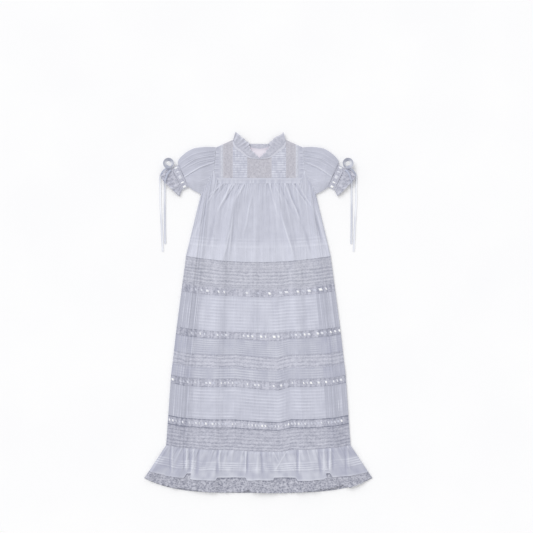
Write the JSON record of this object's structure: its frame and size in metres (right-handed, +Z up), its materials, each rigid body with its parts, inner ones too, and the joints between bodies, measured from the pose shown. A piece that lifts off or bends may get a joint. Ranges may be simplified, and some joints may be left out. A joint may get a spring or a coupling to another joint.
{
  "type": "christening gown",
  "caption": "Infant christening gown laid flat, with a lace and tucked yoke, puffed sleeves with ribbon bows, and a long skirt banded in lace, ribbon beading and tucks.",
  "frame": {"origin": "on the surface that the gown lies on, under the middle of its outline without the free ribbon ends", "axes": "+X to the right as seen from above, +Y from the hem towards the neck, +Z up through the cloth to the front"},
  "size_m": [0.524, 0.8292, 0.0193],
  "materials": {
    "batiste": "fine plain-woven white cotton, matt",
    "cotton_lace": "white cotton lace on a fine net, matt",
    "beading_lace": "white ribbon beading and entredeux, matt",
    "satin_ribbon": "white satin ribbon, soft sheen"
  },
  "bodies": {
    "root": {"back_yoke": "batiste", "beading_1_back": "beading_lace", "beading_1_front": "beading_lace", "beading_2_back": "beading_lace", "beading_2_front": "beading_lace", "beading_3_back": "beading_lace", "beading_3_front": "beading_lace", "beading_4_back": "beading_lace", "beading_4_front": "beading_lace", "bow_loop_left": "satin_ribbon", "bow_loop_right": "satin_ribbon", "bow_tail_inner_left": "satin_ribbon", "bow_tail_inner_right": "satin_ribbon", "bow_tail_outer_left": "satin_ribbon", "bow_tail_outer_right": "satin_ribbon", "cuff_beading_left": "beading_lace", "cuff_beading_right": "beading_lace", "cuff_lace_left": "cotton_lace", "cuff_lace_right": "cotton_lace", "cuff_ribbon_left": "satin_ribbon", "cuff_ribbon_right": "satin_ribbon", "fine_tucks_back": "batiste", "fine_tucks_front": "batiste", "hem_lace_back": "cotton_lace", "hem_lace_front": "cotton_lace", "lace_band_lower_back": "cotton_lace", "lace_band_lower_front": "cotton_lace", "lace_band_upper_back": "cotton_lace", "lace_band_upper_front": "cotton_lace", "lace_insertion_back": "cotton_lace", "lace_insertion_front": "cotton_lace", "narrow_tucks_back": "batiste", "narrow_tucks_front": "batiste", "neck_ruffle_back": "cotton_lace", "neck_ruffle_left": "cotton_lace", "neck_ruffle_right": "cotton_lace", "ribbon_1": "satin_ribbon", "ribbon_2": "satin_ribbon", "ribbon_3": "satin_ribbon", "ribbon_4": "satin_ribbon", "ruffle_back": "batiste", "ruffle_front": "batiste", "sleeve_left": "batiste", "sleeve_right": "batiste", "tucked_panel_lower_back": "batiste", "tucked_panel_lower_front": "batiste", "tucked_panel_upper_back": "batiste", "tucked_panel_upper_front": "batiste", "upper_skirt_back": "batiste", "upper_skirt_front": "batiste", "yoke_band": "batiste", "yoke_centre_lace": "cotton_lace", "yoke_entredeux_left": "beading_lace", "yoke_entredeux_right": "beading_lace", "yoke_lace_left": "cotton_lace", "yoke_lace_right": "cotton_lace", "yoke_side_left": "batiste", "yoke_side_right": "batiste", "yoke_tucks_left": "batiste", "yoke_tucks_right": "batiste"}
  },
  "joints": []
}
